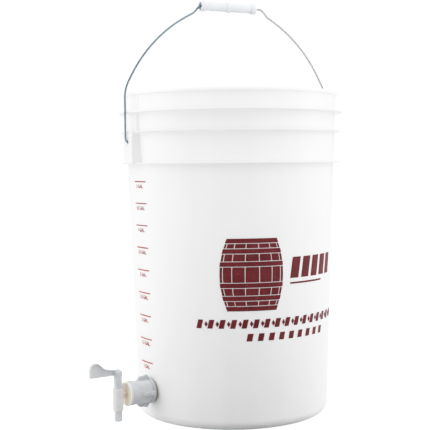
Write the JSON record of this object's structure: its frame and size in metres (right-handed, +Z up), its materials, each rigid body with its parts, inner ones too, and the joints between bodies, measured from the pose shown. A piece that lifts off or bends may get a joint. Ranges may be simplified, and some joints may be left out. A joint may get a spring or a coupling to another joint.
{
  "type": "fermenting bucket",
  "caption": "Tapered round plastic fermenting bucket with stiffening rings, a swinging wire bail with a tube grip, and a lever-operated bottling tap clamped through the wall near its base.",
  "frame": {"origin": "centre of the foot ring, on the bucket's axis, in the plane that the bucket stands on", "axes": "+Z up along the bucket's axis; X along the bail's hinge axis, with the tap close under the ear at -X, 8 degrees from it towards -Y; -Y towards the printed front"},
  "size_m": [0.3916, 0.3166, 0.5804],
  "materials": {
    "bucket_plastic": "translucent white polyethylene, satin",
    "wire_steel": "drawn galvanised wire",
    "grip_plastic": "white polyethylene",
    "key_plastic": "light grey moulding, satin",
    "barrel_plastic": "natural off-white moulding, satin",
    "collar_plastic": "light grey moulding, satin",
    "gasket_rubber": "brown rubber",
    "seal_rubber": "black rubber",
    "print_ink": "screen-printed maroon ink, satin"
  },
  "bodies": {
    "bucket_body": {"bucket": "bucket_plastic", "bulkhead_fitting": "collar_plastic", "inner_gasket": "gasket_rubber", "outer_gasket": "gasket_rubber", "lock_collar": "collar_plastic", "tap_body": "barrel_plastic", "tail_seal": "seal_rubber"},
    "bail": {"bail_wire": "wire_steel"},
    "grip": {"bail_grip": "grip_plastic"},
    "key": {"tap_key": "key_plastic", "upper_key_seal": "seal_rubber", "lower_key_seal": "seal_rubber"}
  },
  "joints": [
    {"name": "bail_swing", "type": "hinge", "parent": "bucket_body", "child": "bail", "pos_m": [0, 0, 0.3815], "axis": [1, 0, 0], "range_deg": [-127, 127]},
    {"name": "grip_spin", "type": "hinge", "parent": "bail", "child": "grip", "pos_m": [0, 0, 0.5729], "axis": [1, 0, 0], "continuous": true},
    {"name": "tap_turn", "type": "hinge", "parent": "bucket_body", "child": "key", "pos_m": [-0.18677, -0.02625, 0.0441], "axis": [0, 0, 1], "continuous": true}
  ]
}
